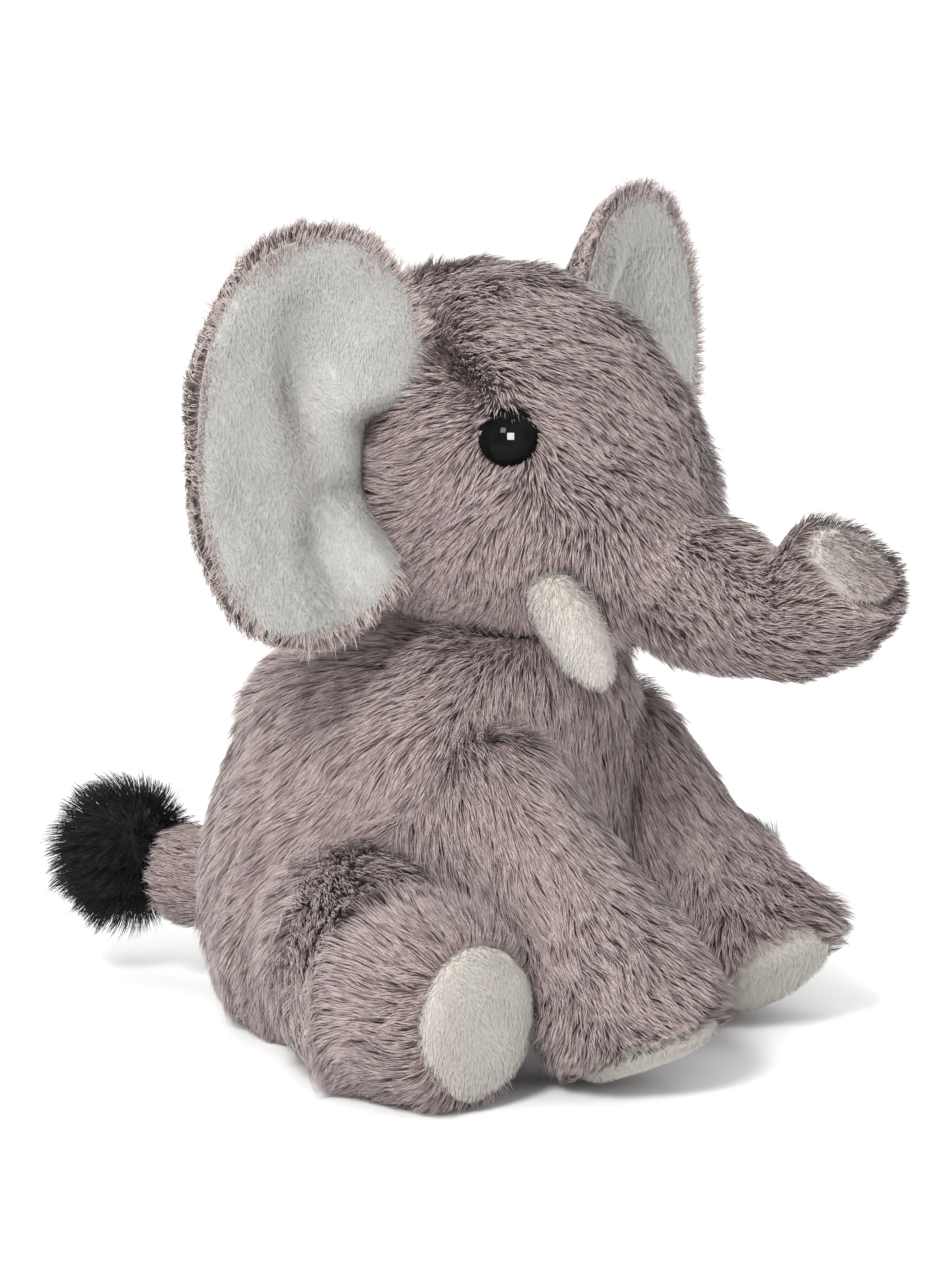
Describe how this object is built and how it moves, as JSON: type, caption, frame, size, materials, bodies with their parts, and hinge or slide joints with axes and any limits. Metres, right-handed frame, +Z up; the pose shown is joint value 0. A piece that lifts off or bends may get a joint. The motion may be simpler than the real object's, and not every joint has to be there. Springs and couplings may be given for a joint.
{
  "type": "stuffed elephant",
  "caption": "Sitting stuffed elephant with a long-pile plush cover, velvet ears, soles and tusks, and a head, trunk, ears, legs and tail that flex at their seams.",
  "frame": {"origin": "on the floor, in the flat face of the seat, under the middle of the lap", "axes": "+Z up, +Y towards the tail; the elephant faces -Y and its right side is on -X"},
  "size_m": [0.1774, 0.2026, 0.1705],
  "materials": {
    "plush_grey": "long-pile plush, matt with a soft sheen",
    "velvet_pale": "short-pile velvet",
    "velvet_cream": "short-pile velvet",
    "plush_black": "long fluffy pile",
    "stuffing": "polyester fibre fill",
    "bean_bag": "cotton pouch of plastic pellets",
    "eye_gloss": "polished black",
    "washer_plastic": "moulded"
  },
  "bodies": {
    "torso": {"body_cover_left": "plush_grey", "body_cover_right": "plush_grey", "seat_panel": "plush_grey", "body_stuffing": "stuffing", "bean_pouch": "bean_bag"},
    "neck": {"neck_ring": "plush_grey"},
    "head": {"head_gusset": "plush_grey", "head_cover_right": "plush_grey", "head_cover_left": "plush_grey", "head_stuffing": "stuffing", "eye_right": "eye_gloss", "eye_washer_right": "washer_plastic", "tusk_cover_right": "velvet_cream", "tusk_stuffing_right": "stuffing", "eye_left": "eye_gloss", "eye_washer_left": "washer_plastic", "tusk_cover_left": "velvet_cream", "tusk_stuffing_left": "stuffing"},
    "trunk": {"trunk_cover": "plush_grey", "trunk_stuffing": "stuffing", "trunk_tip_pad": "velvet_cream"},
    "tail": {"tail_cover": "plush_grey", "tail_stuffing": "stuffing", "tail_pompom": "plush_black"},
    "ear_right": {"ear_back_right": "plush_grey", "ear_front_right": "velvet_pale"},
    "front_leg_right": {"front_leg_cover_right": "plush_grey", "front_leg_stuffing_right": "stuffing", "front_sole_right": "velvet_cream"},
    "hind_leg_right": {"hind_leg_cover_right": "plush_grey", "hind_leg_stuffing_right": "stuffing", "hind_sole_right": "velvet_cream"},
    "ear_left": {"ear_back_left": "plush_grey", "ear_front_left": "velvet_pale"},
    "front_leg_left": {"front_leg_cover_left": "plush_grey", "front_leg_stuffing_left": "stuffing", "front_sole_left": "velvet_cream"},
    "hind_leg_left": {"hind_leg_cover_left": "plush_grey", "hind_leg_stuffing_left": "stuffing", "hind_sole_left": "velvet_cream"}
  },
  "joints": [
    {"name": "neck_turn", "type": "hinge", "parent": "torso", "child": "neck", "pos_m": [0, -0.01, 0.076], "axis": [0, 0, 1], "range_deg": [-20, 20], "stiffness_Nm_per_rad": 0.25},
    {"name": "head_nod", "type": "hinge", "parent": "neck", "child": "head", "pos_m": [0, -0.01, 0.088], "axis": [-0.9962, 0.0872, 0], "range_deg": [-3, 14], "stiffness_Nm_per_rad": 0.35},
    {"name": "trunk_bend", "type": "hinge", "parent": "head", "child": "trunk", "pos_m": [-0.00305, -0.04487, 0.101], "axis": [-0.9962, 0.0872, 0], "range_deg": [-12, 18], "stiffness_Nm_per_rad": 0.12},
    {"name": "ear_flap_right", "type": "hinge", "parent": "head", "child": "ear_right", "pos_m": [-0.03235, -0.00115, 0.131], "axis": [0, 0, 1], "range_deg": [-20, 20], "stiffness_Nm_per_rad": 0.04},
    {"name": "front_leg_lift_right", "type": "hinge", "parent": "torso", "child": "front_leg_right", "pos_m": [-0.028, -0.021, 0.069], "axis": [-1, 0, 0], "range_deg": [0, 25], "stiffness_Nm_per_rad": 0.12},
    {"name": "hind_leg_lift_right", "type": "hinge", "parent": "torso", "child": "hind_leg_right", "pos_m": [-0.037, 0.014, 0.026], "axis": [-1, 0, 0], "range_deg": [0, 20], "stiffness_Nm_per_rad": 0.12},
    {"name": "ear_flap_left", "type": "hinge", "parent": "head", "child": "ear_left", "pos_m": [0.0334, -0.0069, 0.131], "axis": [0, 0, -1], "range_deg": [-20, 20], "stiffness_Nm_per_rad": 0.04},
    {"name": "front_leg_lift_left", "type": "hinge", "parent": "torso", "child": "front_leg_left", "pos_m": [0.028, -0.021, 0.069], "axis": [-1, 0, 0], "range_deg": [0, 25], "stiffness_Nm_per_rad": 0.12},
    {"name": "hind_leg_lift_left", "type": "hinge", "parent": "torso", "child": "hind_leg_left", "pos_m": [0.037, 0.014, 0.026], "axis": [-1, 0, 0], "range_deg": [0, 11], "stiffness_Nm_per_rad": 0.12},
    {"name": "tail_wag", "type": "hinge", "parent": "torso", "child": "tail", "pos_m": [0, 0.055, 0.026], "axis": [0, 0, 1], "range_deg": [-25, 25], "stiffness_Nm_per_rad": 0.04}
  ]
}
